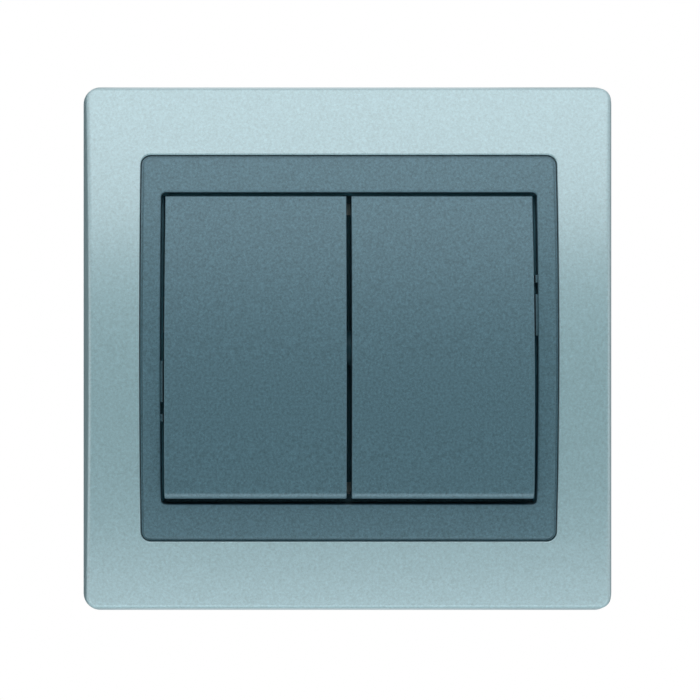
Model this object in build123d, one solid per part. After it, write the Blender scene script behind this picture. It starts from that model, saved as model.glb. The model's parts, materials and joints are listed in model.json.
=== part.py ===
from build123d import *
from math import asin, cos, degrees, radians, sin
import os

# Double two-way light switch for a round wall box, in millimetres.
# The wall is the plane Y = 0 and the front faces -Y. Seen from the front, +X is right and +Z is up.
# The origin is the middle of the box screws, on the wall. Depths are counted from the wall.

# Outer frame: a moulded surround whose front is an arc from top to bottom
FRAME_WIDTH = 81.0
FRAME_HEIGHT = 80.2
FRAME_DEPTH = 10.2
FRAME_CORNER = 2.6
FRAME_WALL = 2.0
FRAME_DRAFT = 10.0
FRAME_EDGE_ROUND = 0.8
CROWN_RADIUS = 145.0
WINDOW_WIDTH = 62.3
WINDOW_HEIGHT = 57.9
WINDOW_CORNER = 1.5
WINDOW_EDGE_ROUND = 0.2
LEDGE_DROP = 2.0
LEDGE_REACH = 1.6
LEDGE_THICKNESS = 1.5
RIM_WALL = 1.6
RIB_THICKNESS = 1.2
SIDE_RIB_HEIGHT = 24.0
END_RIB_OFFSET = 22.0
SEAT_GAP = 0.1
FIT_GAP = 0.05

# Inner bezel: clips the frame to the strap and surrounds the keys
BEZEL_GAP = 0.45
BEZEL_REBATE = 0.45
FLANGE_GAP = 0.12
BEZEL_WALL = 1.2
BEZEL_EDGE_ROUND = 0.2
BEZEL_REAR = 4.2
SKIRT_CLEARANCE = 0.2
KEY_WINDOW_WIDTH = 56.1
KEY_WINDOW_HEIGHT = 46.6
KEY_WINDOW_CORNER = 0.7
CLIP_OFFSET = 16.0
CLIP_WIDTH = 6.0
CLIP_BARB = 0.8
CLIP_SEAT = 0.15
CLIP_LENGTH = 2.2
CLIP_ROOM = 0.3
GUIDE_GAP = 0.3
GUIDE_RECESS = 0.5
LONG_GUIDE = (-8.0, -1.9)
SHORT_GUIDE = (-10.9, -9.8)
LIP_GAP = 0.4
LIP_THICKNESS = 0.7
LIP_REACH = 1.2
BOX_HEAD_ROOM = 6.8
CLAW_HEAD_ROOM = 5.8
SHIELD_MARGIN = 0.3
SHIELD_THICKNESS = 0.6
SHIELD_GAP = 0.3
SHIELD_REACH = 1.2

# Keys and the tumblers that carry them
KEY_SIDE_GAP = 0.62
KEY_END_GAP = 0.7
KEY_SPLIT = 0.76
KEY_PROUD = 0.8
KEY_REAR = 4.2
KEY_FRONT_WALL = 1.8
KEY_SIDE_WALL = 1.2
KEY_END_ROUND = 1.1
KEY_SIDE_ROUND = 0.2
KEY_TILT = 3.0
KEY_LEG_OFFSET = 4.8
KEY_LEG_WIDTH = 2.6
KEY_LEG_THICKNESS = 1.4
KEY_LEG_HEIGHT = 4.2
KEY_LEG_BARB = 0.5
KEY_LEG_ROOM = 0.2
KEY_RIB_REACH = 7.0
PIVOT_DEPTH = 4.5
TRUNNION_RADIUS = 1.5
TRUNNION_CLEARANCE = 0.06
TRUNNION_LENGTH = 1.0
TRUNNION_BOSS_RADIUS = 2.2
TRUNNION_BOSS_LENGTH = 1.6
CRADLE_WIDTH = 16.4
CRADLE_ROOM = 0.2
CRADLE_REACH = 8.5
CRADLE_PLATE = 2.0
CRADLE_FOOT = 1.5
STOP_GAP = 0.1
BARREL_RADIUS = 3.2
BARREL_LENGTH = 12.0
BORE_RADIUS = 2.1
BORE_DEPTH = 8.5
BARREL_LIP = 0.5
GUSSET_THICKNESS = 1.2
GUSSET_REACH = 5.0
PLUNGER_RADIUS = 1.6
PLUNGER_COLLAR_RADIUS = 2.0
PLUNGER_COLLAR_LENGTH = 1.8
PLUNGER_LIP_GAP = 0.3
PLUNGER_CLEARANCE = 0.15
PLUNGER_TIP_GAP = 0.17
SPRING_WIRE = 0.5
SPRING_SIDES = 8
SPRING_TURNS = 4
SPRING_CLEARANCE = 0.15

# Contacts and terminals
CONTACT_WIDTH = 5.0
CONTACT_THICKNESS = 0.8
CONTACT_REACH = 10.0
CONTACT_GAP = 3.0
CONTACT_CLEARANCE = 0.15
KNIFE_RADIUS = 0.8
KNIFE_CLEARANCE = 0.1
SADDLE_DEPTH = 0.4
TIP_RADIUS = 1.5
TIP_THICKNESS = 0.8
TIP_EDGE = 0.2
STRIP_THICKNESS = 1.2
STRIP_DEPTH = 15.0
STRIP_WIDTH = 3.6
STRIP_GAP = 0.6
TERMINAL_PITCH = 13.0
PAD_WIDTH = 8.6
PAD_HEIGHT = 6.4
PAD_GAP = 0.2
WIRE_GAP = 1.8
CLAMP_WIDTH = 7.0
CLAMP_HEIGHT = 6.0
CLAMP_THICKNESS = 1.2
CLAMP_LIP = 0.8
CLAMP_HOLE_ROOM = 0.3
SCREW_RADIUS = 1.7
SCREW_CLEARANCE = 0.05
SCREW_HEAD_RADIUS = 2.9
SCREW_HEAD_HEIGHT = 2.0
SCREW_HEAD_EDGE = 0.5
SCREW_SLOT_WIDTH = 0.9
SCREW_SLOT_DEPTH = 1.0
SCREW_TAIL = 2.0

# Base and cover of the mechanism
BASE_WIDTH = 44.0
BASE_HEIGHT = 42.0
BASE_CHAMFER = 6.0
BASE_DEPTH = 22.0
BASE_WALL = 1.8
BASE_EDGE_ROUND = 0.8
DIVIDER_THICKNESS = 2.0
POCKET_LEDGE = 0.5
CORE_RIB = 1.4
COVER_THICKNESS = 1.6
COVER_OVERLAP = 1.9
COLLAR_CLEARANCE = 0.2
COLLAR_WALL = 1.4
COLLAR_LENGTH = 2.5
CRADLE_OPENING = 6.0
EAR_RADIUS = 2.6
EAR_THICKNESS = 2.2
EAR_GAP = 0.3
EAR_ROOM = 0.3
LATCH_OFFSET = 10.0
LATCH_WIDTH = 6.0
LATCH_ROOM = 1.1
LATCH_BITE = 1.0
LATCH_LENGTH = 7.0
LATCH_BARB = 2.0
LATCH_GAP = 0.2

# Mounting strap and its claws
STRAP_MARGIN = 3.0
STRAP_CORNER = 5.0
STRAP_THICKNESS = 1.0
STRAP_CLEARANCE = 0.3
STRAP_NOTCH_WIDTH = 9.0
STRAP_NOTCH_DEPTH = 1.4
BOX_SCREW_SPACING = 60.0
BOX_SLOT_WIDTH = 4.2
BOX_SLOT_LENGTH = 5.4
BEAD_LENGTH = 12.0
BEAD_WIDTH = 3.0
BEAD_HEIGHT = 0.6
BEAD_EDGE = 4.0
BEAD_POSITION = 14.0
CLAW_POSITION = 5.0
CLAW_GAP = 1.4
CLAW_THICKNESS = 1.2
CLAW_WIDTH = 8.0
CLAW_LENGTH = 17.5
CLAW_HOOK = 3.4
CLAW_TEETH = 3
CLAW_TOOTH_DEPTH = 1.2
CLAW_TONGUE = 2.0
CLAW_HEAD_SIDE = 0.5
CLAW_HEAD_LENGTH = 0.9
CLAW_SLOT_ROOM = 0.35
CLAW_STRAP_GAP = 0.2
CLAW_LUG_DEPTH = 7.6
CLAW_LUG_WIDTH = 5.2
CLAW_LUG_EDGE = 2.0
CLAW_WINDOW_LENGTH = 4.0
CLAW_SCREW_OFFSET = 2.9
CLAW_SCREW_RADIUS = 1.25
CLAW_SCREW_LENGTH = 13.0
CLAW_SCREW_HEAD_RADIUS = 2.3
CLAW_SCREW_HEAD_HEIGHT = 1.7
CLAW_SCREW_SLOT_DEPTH = 0.85
CLAW_SCREW_ROOM = 0.35
CLAW_NUT = 4.4
CLAW_NUT_THICKNESS = 2.0

# Places that follow from the sizes above
STRAP_WIDTH = FRAME_WIDTH - 2 * (FRAME_WALL + STRAP_MARGIN)
STRAP_HEIGHT = FRAME_HEIGHT - 2 * (FRAME_WALL + STRAP_MARGIN)
STRAP_FRONT = -STRAP_THICKNESS
COVER_FRONT = STRAP_FRONT - COVER_THICKNESS
PIVOT_Y = -PIVOT_DEPTH
KEY_WIDTH = (KEY_WINDOW_WIDTH - KEY_SPLIT) / 2 - KEY_SIDE_GAP
KEY_HEIGHT = KEY_WINDOW_HEIGHT - 2 * KEY_END_GAP
KEY_X = -(KEY_SPLIT + KEY_WIDTH) / 2
SKIRT_WIDTH = WINDOW_WIDTH - 2 * (LEDGE_REACH + SKIRT_CLEARANCE)
SKIRT_HEIGHT = WINDOW_HEIGHT - 2 * (LEDGE_REACH + SKIRT_CLEARANCE)
CRADLE_INNER_X = -(KEY_SPLIT / 2 + KEY_SIDE_WALL + CRADLE_ROOM)
CRADLE_OUTER_X = CRADLE_INNER_X - CRADLE_WIDTH
CELL_X = (CRADLE_INNER_X + CRADLE_OUTER_X) / 2
CRADLE_FOOT_Y = COVER_FRONT - STOP_GAP - CRADLE_REACH * sin(radians(KEY_TILT))
CRADLE_REAR = PIVOT_Y
CRADLE_FRONT = CRADLE_REAR - CRADLE_PLATE
BARREL_END = CRADLE_REAR + BARREL_LENGTH
BORE_END = BARREL_END - BARREL_LIP
BORE_START = BORE_END - BORE_DEPTH
COLLAR_FRONT = BORE_END - PLUNGER_LIP_GAP - PLUNGER_COLLAR_LENGTH
CAVITY_WIDTH = BASE_WIDTH - 2 * BASE_WALL
CAVITY_HEIGHT = BASE_HEIGHT - 2 * BASE_WALL
CAVITY_CHAMFER = BASE_CHAMFER - BASE_WALL / 2
COLLAR_WIDTH = CAVITY_WIDTH - 2 * COLLAR_CLEARANCE
COLLAR_HEIGHT = CAVITY_HEIGHT - 2 * LATCH_ROOM
FLOOR_Y = STRIP_DEPTH + STRIP_THICKNESS
SCREW_ROW = CAVITY_HEIGHT / 2 - PAD_GAP - PAD_HEIGHT / 2
CLAMP_Y = FLOOR_Y + WIRE_GAP
POCKET_INNER = SCREW_ROW - CLAMP_HEIGHT / 2 - POCKET_LEDGE
CLAW_X = -(BASE_WIDTH / 2 + CLAW_GAP + CLAW_THICKNESS / 2)
CLAW_SCREW_X = CLAW_X - CLAW_SCREW_OFFSET

# The see-saw closes on one fixed tip and stands open from the other by the contact gap
SEESAW_TILT = degrees(asin(CONTACT_GAP / 2 / CONTACT_REACH))
SADDLE_RADIUS = KNIFE_RADIUS + KNIFE_CLEARANCE
CONTACT_REAR = SADDLE_RADIUS - SADDLE_DEPTH
TIP_FACE = TIP_THICKNESS - CONTACT_REAR
TIP_SWING = TIP_FACE * cos(radians(SEESAW_TILT)) + (CONTACT_REACH + TIP_RADIUS) * sin(radians(SEESAW_TILT))
SEESAW_Y = STRIP_DEPTH - TIP_THICKNESS - CONTACT_CLEARANCE - TIP_SWING
PLUNGER_END = SEESAW_Y - CONTACT_REAR - CONTACT_THICKNESS - PLUNGER_TIP_GAP


def slab(outline, rear, front, taper=0):
    """An outline drawn in X and Z, as thick as from its rear depth to its front depth."""
    return extrude(Plane.XZ.offset(-rear) * outline, rear - front, taper=taper)


def side_profile(outline, left, right):
    """An outline drawn in Y and Z, carried across X."""
    return extrude(Plane.YZ.offset(left) * outline, right - left)


def crown(drop):
    """All that lies behind the arc of the front, lowered by a drop."""
    arc_centre = Pos(0, CROWN_RADIUS - FRAME_DEPTH, 0)
    return arc_centre * Rot(0, 90, 0) * Cylinder(CROWN_RADIUS - drop, 2 * FRAME_WIDTH)


def octagon(width, height, corner):
    return chamfer(Rectangle(width, height).vertices(), corner)


def patch(x_limits, z_limits):
    """A rectangle between limits."""
    width = x_limits[1] - x_limits[0]
    height = z_limits[1] - z_limits[0]
    return Pos(sum(x_limits) / 2, sum(z_limits) / 2) * Rectangle(width, height)


def outline_of(*points):
    return make_face(Polyline(*points, close=True))


def window_outline(growth):
    corner = max(WINDOW_CORNER + growth, WINDOW_EDGE_ROUND)
    return RectangleRounded(WINDOW_WIDTH + 2 * growth, WINDOW_HEIGHT + 2 * growth, corner)


def key_window_outline(growth):
    corner = KEY_WINDOW_CORNER + growth
    return RectangleRounded(KEY_WINDOW_WIDTH + 2 * growth, KEY_WINDOW_HEIGHT + 2 * growth, corner)


def half_turn(part):
    """The mechanism's other half: the same piece turned half round about the front axis."""
    return Rot(0, 180, 0) * part


def both_halves(part):
    return part + half_turn(part)


def tilted(part):
    """A key's piece from its middle position to rest, with the top pressed in."""
    return Pos(0, PIVOT_Y, 0) * Rot(-KEY_TILT, 0, 0) * Pos(0, -PIVOT_Y, 0) * part


def rocked(part):
    """A see-saw's piece from its middle position to rest, with the lower tip closed."""
    return Pos(0, SEESAW_Y, 0) * Rot(SEESAW_TILT, 0, 0) * Pos(0, -SEESAW_Y, 0) * part


def front_face(part, drop):
    """The face of a part that lies on the crown at a drop."""
    arcs = part.faces().filter_by(GeomType.CYLINDER)
    radius = CROWN_RADIUS - drop
    return [face for face in arcs if abs(face.radius - radius) < SEAT_GAP / 2]


def make_outer_frame():
    """Silver surround: drafted sides, an arched front and a ledge that the bezel clamps."""
    outline = RectangleRounded(FRAME_WIDTH, FRAME_HEIGHT, FRAME_CORNER)
    inner_width = FRAME_WIDTH - 2 * FRAME_WALL
    inner_height = FRAME_HEIGHT - 2 * FRAME_WALL
    inner_outline = RectangleRounded(inner_width, inner_height, FRAME_CORNER)
    body = slab(outline, 0, -FRAME_DEPTH - SEAT_GAP, FRAME_DRAFT) & crown(0)
    hollow = slab(inner_outline, 0, -FRAME_DEPTH, FRAME_DRAFT) & crown(FRAME_WALL)
    ledge_rear = LEDGE_DROP + LEDGE_THICKNESS
    rim = slab(window_outline(RIM_WALL), 0, -FRAME_DEPTH) & (crown(FRAME_WALL / 2) - crown(ledge_rear))
    ribs = slab(frame_ribs(), STRAP_FRONT - SEAT_GAP, -FRAME_DEPTH) & body
    opening = slab(window_outline(0), 0, -2 * FRAME_DEPTH) - crown(LEDGE_DROP)
    passage = slab(window_outline(-LEDGE_REACH), 0, -2 * FRAME_DEPTH)
    frame = body - hollow + rim + (ribs & crown(FRAME_WALL / 2)) - opening - passage
    front = front_face(frame, 0)[0]
    frame = fillet(front.outer_wire().edges(), FRAME_EDGE_ROUND)
    front = front_face(frame, 0)[0]
    return fillet(front.inner_wires()[0].edges(), WINDOW_EDGE_ROUND)


def frame_ribs():
    """Ribs from the frame's rim to its sides, which stand on the strap."""
    ribs = Sketch()
    for offset in (-END_RIB_OFFSET, END_RIB_OFFSET):
        ribs += Pos(offset, 0) * Rectangle(RIB_THICKNESS, FRAME_HEIGHT - FRAME_WALL)
    for offset in (-SIDE_RIB_HEIGHT, SIDE_RIB_HEIGHT):
        ribs += Pos(0, offset) * Rectangle(FRAME_WIDTH - FRAME_WALL, RIB_THICKNESS)
    return ribs


def make_inner_bezel():
    """Dark surround: a rebated flange on the frame's ledge, a skirt through it and four strap clips."""
    skirt_outline = RectangleRounded(SKIRT_WIDTH, SKIRT_HEIGHT, WINDOW_CORNER)
    flange_rear = LEDGE_DROP - FIT_GAP
    flange = slab(window_outline(-BEZEL_GAP), 0, -FRAME_DEPTH) & (crown(0) - crown(flange_rear))
    flange += slab(window_outline(-FLANGE_GAP), 0, -FRAME_DEPTH) & (crown(BEZEL_REBATE) - crown(flange_rear))
    skirt = slab(skirt_outline, -BEZEL_REAR, -FRAME_DEPTH) & crown(LEDGE_DROP / 2)
    bezel = flange + skirt - slab(key_window_outline(0), 0, -2 * FRAME_DEPTH)
    inner_wall = KEY_WINDOW_HEIGHT / 2 + BEZEL_WALL
    outer_wall = SKIRT_HEIGHT / 2 - BEZEL_WALL
    groove = patch((-KEY_WINDOW_WIDTH / 2, KEY_WINDOW_WIDTH / 2), (inner_wall, outer_wall))
    bezel -= both_halves(slab(groove, 0, -FRAME_DEPTH) & crown(LEDGE_DROP))
    front = front_face(bezel, 0)[0]
    bezel = fillet(front.edges(), BEZEL_EDGE_ROUND)
    for offset in (-CLIP_OFFSET, CLIP_OFFSET):
        bezel += both_halves(bezel_clip(offset))
    return bezel + both_halves(key_guides()) + dust_lip() + both_halves(screw_shield())


def bezel_clip(offset):
    """A leg on the skirt with a barb that hooks behind the strap."""
    outer = SKIRT_HEIGHT / 2
    inner = outer - BEZEL_WALL
    root = -BEZEL_REAR - BEZEL_WALL
    end = CLIP_SEAT + CLIP_LENGTH
    hook = outline_of(
        (root, inner), (end, inner), (end, outer), (CLIP_SEAT + CLIP_BARB / 2, outer + CLIP_BARB),
        (CLIP_SEAT, outer + CLIP_BARB), (CLIP_SEAT, outer), (root, outer),
    )
    return side_profile(hook, offset - CLIP_WIDTH / 2, offset + CLIP_WIDTH / 2)


def key_guides():
    """Two pads on the left wall of the key window that keep the key from rubbing along it."""
    wall = -KEY_WINDOW_WIDTH / 2
    face = wall + KEY_SIDE_GAP - GUIDE_GAP
    guides = Sketch()
    for limits in (LONG_GUIDE, SHORT_GUIDE):
        guides += patch((wall - BEZEL_WALL / 2, face), limits)
    return slab(guides, -BEZEL_REAR, -FRAME_DEPTH) & crown(GUIDE_RECESS)


def dust_lip():
    """A lip behind the keys' edges, broken where the box screws and the claw screws have their heads."""
    front = LIP_GAP - KEY_REAR + KEY_HEIGHT / 2 * sin(radians(KEY_TILT))
    rear = front + LIP_THICKNESS
    outline = key_window_outline(BEZEL_WALL)
    inside = Rectangle(KEY_WINDOW_WIDTH - 2 * LIP_REACH, KEY_WINDOW_HEIGHT - 2 * LIP_REACH)
    lip = slab(outline - inside, rear, front)
    lip += slab(outline - key_window_outline(0), rear, -BEZEL_REAR - BEZEL_WALL)
    sides = (-WINDOW_WIDTH / 2, 2 * LIP_REACH - KEY_WINDOW_WIDTH / 2)
    rooms = patch(sides, (-BOX_HEAD_ROOM / 2, BOX_HEAD_ROOM / 2))
    rooms += patch(sides, (CLAW_POSITION - CLAW_HEAD_ROOM / 2, CLAW_POSITION + CLAW_HEAD_ROOM / 2))
    return lip - both_halves(slab(rooms, 0, -BEZEL_REAR))


def screw_shield():
    """A tab on the skirt's left wall that hides the box screw from the gap beside the key."""
    outer = -SKIRT_WIDTH / 2
    wall = -KEY_WINDOW_WIDTH / 2
    half_height = BOX_SLOT_WIDTH / 2 + SHIELD_MARGIN
    heights = (-half_height, half_height)
    front = -KEY_REAR + SHIELD_GAP
    rear = front + SHIELD_THICKNESS
    tab = slab(patch((outer, wall), heights), rear, -BEZEL_REAR - BEZEL_WALL)
    return tab + slab(patch((outer, wall + SHIELD_REACH), heights), rear, front)


def make_key():
    """Left key: an arched cap, open behind, with legs that snap into its cradle."""
    arc_centre = CROWN_RADIUS - FRAME_DEPTH
    front_radius = CROWN_RADIUS + KEY_PROUD
    section = patch((-2 * FRAME_DEPTH, -KEY_REAR), (-KEY_HEIGHT / 2, KEY_HEIGHT / 2))
    section &= Pos(arc_centre, 0) * Circle(front_radius)
    section = fillet(section.vertices().sort_by(Axis.X)[:2], KEY_END_ROUND)
    left = KEY_X - KEY_WIDTH / 2
    right = KEY_X + KEY_WIDTH / 2
    cap = side_profile(section, left, right)
    sides = cap.faces().sort_by(Axis.X)
    rims = [edge for face in (sides[0], sides[-1]) for edge in face.edges() if edge.center().Y < -KEY_REAR]
    cap = fillet(rims, KEY_SIDE_ROUND)
    hollow = Rectangle(KEY_WIDTH - 2 * KEY_SIDE_WALL, KEY_HEIGHT - 2 * KEY_SIDE_WALL)
    inside = crown(KEY_FRONT_WALL - KEY_PROUD)
    cap -= slab(Pos(KEY_X, 0) * hollow, 0, -FRAME_DEPTH) & inside
    ear_room = Pos(PIVOT_Y, 0) * Circle(EAR_RADIUS + EAR_ROOM)
    ear_room += patch((PIVOT_Y, 0), (-EAR_RADIUS - EAR_ROOM, EAR_RADIUS + EAR_ROOM))
    cap -= side_profile(ear_room, right - KEY_SIDE_WALL, right)
    seat = CRADLE_FRONT - FIT_GAP
    under_front = crown((KEY_FRONT_WALL - KEY_PROUD) / 2)
    for offset in (-KEY_LEG_OFFSET, KEY_LEG_OFFSET):
        rib = patch((CELL_X + offset - RIB_THICKNESS / 2, CELL_X + offset + RIB_THICKNESS / 2),
                    (-KEY_RIB_REACH, KEY_RIB_REACH))
        cap += slab(rib, seat, -FRAME_DEPTH) & under_front
        for leg in (key_leg(CELL_X + offset), mirror(key_leg(CELL_X + offset), Plane.XY)):
            cap += leg & under_front
    return cap


def key_leg(middle):
    """A leg through the cradle's plate, with its barb behind the plate."""
    inner = KEY_LEG_HEIGHT - KEY_LEG_THICKNESS / 2
    outer = KEY_LEG_HEIGHT + KEY_LEG_THICKNESS / 2
    seat = CRADLE_REAR + FIT_GAP
    end = seat + 2 * KEY_LEG_BARB
    hook = outline_of(
        (-FRAME_DEPTH, inner), (end, inner), (end, outer), (seat, outer + KEY_LEG_BARB), (seat, outer),
        (-FRAME_DEPTH, outer),
    )
    return side_profile(hook, middle - KEY_LEG_WIDTH / 2, middle + KEY_LEG_WIDTH / 2)


def make_cradle():
    """Left tumbler: a plate on two trunnions, end feet as stops and a barrel for the plunger."""
    plate = patch((CRADLE_OUTER_X, CRADLE_INNER_X), (-CRADLE_REACH, CRADLE_REACH))
    cradle = slab(plate, CRADLE_REAR, CRADLE_FRONT)
    foot = patch((CRADLE_OUTER_X, CRADLE_INNER_X), (CRADLE_REACH - CRADLE_FOOT, CRADLE_REACH))
    foot = slab(foot, CRADLE_FOOT_Y, CRADLE_REAR - CRADLE_PLATE / 2)
    cradle += foot + mirror(foot, Plane.XY)
    barrel = Pos(CELL_X, 0) * Circle(BARREL_RADIUS)
    cradle += slab(barrel, BARREL_END, CRADLE_FRONT)
    gusset = outline_of(
        (CRADLE_REAR - CRADLE_PLATE / 2, GUSSET_REACH), (CRADLE_REAR, GUSSET_REACH),
        (BORE_START + GUSSET_REACH, 0), (BORE_START + GUSSET_REACH, -BORE_RADIUS),
        (CRADLE_REAR - CRADLE_PLATE / 2, -BORE_RADIUS),
    )
    gusset = side_profile(gusset, CELL_X - GUSSET_THICKNESS / 2, CELL_X + GUSSET_THICKNESS / 2)
    cradle += gusset + mirror(gusset, Plane.XY)
    pivot = Pos(PIVOT_Y, 0)
    outer_end = CRADLE_OUTER_X - EAR_GAP - TRUNNION_LENGTH
    inner_end = CRADLE_INNER_X + EAR_GAP + TRUNNION_LENGTH
    boss = pivot * Circle(TRUNNION_BOSS_RADIUS)
    cradle += side_profile(boss, CRADLE_OUTER_X, CRADLE_OUTER_X + TRUNNION_BOSS_LENGTH)
    cradle += side_profile(boss, CRADLE_INNER_X - TRUNNION_BOSS_LENGTH, CRADLE_INNER_X)
    pin = pivot * Circle(TRUNNION_RADIUS)
    cradle += side_profile(pin, outer_end, CRADLE_OUTER_X)
    cradle += side_profile(pin, CRADLE_INNER_X, inner_end)
    bore = Pos(CELL_X, 0) * Circle(BORE_RADIUS)
    mouth = Pos(CELL_X, 0) * Circle(PLUNGER_RADIUS + PLUNGER_CLEARANCE)
    cradle -= slab(bore, BORE_END, BORE_START)
    cradle -= slab(mouth, BARREL_END, BORE_START)
    slot_size = (KEY_LEG_WIDTH + 2 * KEY_LEG_ROOM, KEY_LEG_THICKNESS + 2 * KEY_LEG_ROOM + KEY_LEG_BARB)
    slots = Sketch()
    for offset in (-KEY_LEG_OFFSET, KEY_LEG_OFFSET):
        for height in (-KEY_LEG_HEIGHT, KEY_LEG_HEIGHT):
            inward = -KEY_LEG_BARB / 2 if height > 0 else KEY_LEG_BARB / 2
            slots += Pos(CELL_X + offset, height + inward) * Rectangle(*slot_size)
    return cradle - slab(slots, CRADLE_REAR, CRADLE_FRONT)


def make_plunger():
    """Left plunger: a turned pin with a collar kept in by the barrel's lip and a round nose."""
    nose_centre = PLUNGER_END - PLUNGER_RADIUS
    collar_rear = COLLAR_FRONT + PLUNGER_COLLAR_LENGTH
    half = outline_of(
        (0, COLLAR_FRONT), (PLUNGER_COLLAR_RADIUS, COLLAR_FRONT), (PLUNGER_COLLAR_RADIUS, collar_rear),
        (PLUNGER_RADIUS, collar_rear), (PLUNGER_RADIUS, nose_centre), (0, nose_centre),
    )
    nose = Pos(0, nose_centre) * Circle(PLUNGER_RADIUS)
    nose &= patch((0, PLUNGER_RADIUS), (nose_centre, PLUNGER_END))
    return Pos(CELL_X, 0, 0) * revolve(half + nose, Axis.Y)


def make_spring():
    """Left spring: a coil between the barrel's end wall and the plunger's collar, its wire near round."""
    coil_radius = BORE_RADIUS - SPRING_CLEARANCE - SPRING_WIRE / 2
    length = COLLAR_FRONT - BORE_START - SPRING_WIRE - 2 * FIT_GAP
    path = Helix(pitch=length / SPRING_TURNS, height=length, radius=coil_radius)
    wire = RegularPolygon(SPRING_WIRE / 2, SPRING_SIDES)
    section = Plane(origin=path @ 0, z_dir=path % 0) * wire
    coil = sweep(section, path=path, is_frenet=True)
    start = BORE_START + FIT_GAP + SPRING_WIRE / 2
    return Pos(CELL_X, start, 0) * Rot(-90, 0, 0) * coil


def make_moving_contact():
    """Left see-saw: a brass strip with a saddle across its rear that sits on the knife edge."""
    rear = SEESAW_Y - CONTACT_REAR
    front = rear - CONTACT_THICKNESS
    end = CONTACT_REACH + TIP_RADIUS
    outline = SlotOverall(2 * end + TIP_RADIUS, CONTACT_WIDTH, rotation=90)
    strip = slab(Pos(CELL_X, 0) * outline, rear, front)
    saddle = Pos(SEESAW_Y, 0) * Circle(SADDLE_RADIUS)
    return strip - side_profile(saddle, CELL_X - CONTACT_WIDTH, CELL_X + CONTACT_WIDTH)


def contact_tip(height, rear, front, edge):
    """A silver button on the left cell's contact line, with the edge of its face broken."""
    button = slab(Pos(CELL_X, height) * Circle(TIP_RADIUS), rear, front)
    return chamfer(button.edges().sort_by(Axis.Y)[edge], TIP_EDGE)


def make_moving_tips():
    front = SEESAW_Y - CONTACT_REAR
    rear = front + TIP_THICKNESS
    return [contact_tip(height, rear, front, -1) for height in (-CONTACT_REACH, CONTACT_REACH)]


def make_fixed_tips():
    """The four fixed buttons, two in each cell."""
    left = [contact_tip(height, STRIP_DEPTH, STRIP_DEPTH - TIP_THICKNESS, 0)
            for height in (-CONTACT_REACH, CONTACT_REACH)]
    return left + [half_turn(tip) for tip in left]


def pad_outline(column):
    """A terminal's screw pad at a column of the upper row, trimmed to the base's corner."""
    pad = Pos(column, SCREW_ROW) * Rectangle(PAD_WIDTH, PAD_HEIGHT)
    trim = octagon(CAVITY_WIDTH - 2 * PAD_GAP, CAVITY_HEIGHT - 2 * PAD_GAP, CAVITY_CHAMFER)
    return pad & trim


def screw_hole(column):
    return Pos(column, SCREW_ROW) * Circle(SCREW_RADIUS + SCREW_CLEARANCE)


def make_upper_terminal():
    """Left upper terminal: a flat brass strip from its pad to the fixed contact."""
    tongue_end = CONTACT_REACH - CONTACT_WIDTH / 2
    half_width = CONTACT_WIDTH / 2
    tongue = patch((CELL_X - half_width, CELL_X + half_width), (tongue_end, SCREW_ROW - PAD_HEIGHT / 4))
    outline = pad_outline(-TERMINAL_PITCH) + tongue - screw_hole(-TERMINAL_PITCH)
    return slab(outline, FLOOR_Y, STRIP_DEPTH)


def make_common_terminal():
    """Left common terminal: a strip along the divider, with the knife edge that carries the see-saw."""
    inner = -DIVIDER_THICKNESS / 2 - STRIP_GAP
    half_width = CONTACT_WIDTH / 2
    foot = patch((CELL_X - half_width, inner), (-STRIP_WIDTH / 2, STRIP_WIDTH / 2))
    riser = patch((inner - STRIP_WIDTH, inner), (-STRIP_WIDTH / 2, SCREW_ROW))
    outline = pad_outline(0) + foot + riser - screw_hole(0)
    knife = patch((SEESAW_Y, STRIP_DEPTH), (-KNIFE_RADIUS, KNIFE_RADIUS))
    knife += Pos(SEESAW_Y, 0) * Circle(KNIFE_RADIUS)
    knife_edge = side_profile(knife, CELL_X - half_width, CELL_X + half_width)
    return slab(outline, FLOOR_Y, STRIP_DEPTH) + knife_edge


def terminal_columns():
    return [-TERMINAL_PITCH, 0, TERMINAL_PITCH]


def make_terminal_clamps():
    """Six square clamp plates with lips that keep the wire under them."""
    half_width = CLAMP_WIDTH / 2
    section = outline_of(
        (-half_width, CLAMP_Y - CLAMP_LIP), (-half_width, CLAMP_Y + CLAMP_THICKNESS),
        (half_width, CLAMP_Y + CLAMP_THICKNESS), (half_width, CLAMP_Y - CLAMP_LIP),
        (half_width - CLAMP_LIP, CLAMP_Y), (CLAMP_LIP - half_width, CLAMP_Y),
    )
    plate = extrude(Plane.XY.offset(SCREW_ROW - CLAMP_HEIGHT / 2) * section, CLAMP_HEIGHT)
    hole = Pos(0, SCREW_ROW) * Circle(SCREW_RADIUS + CLAMP_HOLE_ROOM)
    plate -= slab(hole, CLAMP_Y + CLAMP_THICKNESS, CLAMP_Y - CLAMP_LIP)
    upper = [Pos(column, 0, 0) * plate for column in terminal_columns()]
    return upper + [half_turn(clamp) for clamp in upper]


def make_terminal_screws():
    """Six slotted screws, driven from behind through the clamps into the pads."""
    seat = CLAMP_Y + CLAMP_THICKNESS
    top = seat + SCREW_HEAD_HEIGHT
    screw = slab(Circle(SCREW_HEAD_RADIUS), top, seat)
    screw = chamfer(screw.edges().sort_by(Axis.Y)[-1], SCREW_HEAD_EDGE)
    screw += slab(Circle(SCREW_RADIUS), seat, STRIP_DEPTH - SCREW_TAIL)
    screw -= slab(Rectangle(2 * SCREW_HEAD_RADIUS, SCREW_SLOT_WIDTH), top, top - SCREW_SLOT_DEPTH)
    upper = [Pos(column, 0, SCREW_ROW) * screw for column in terminal_columns()]
    return upper + [half_turn(part) for part in upper]


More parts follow.
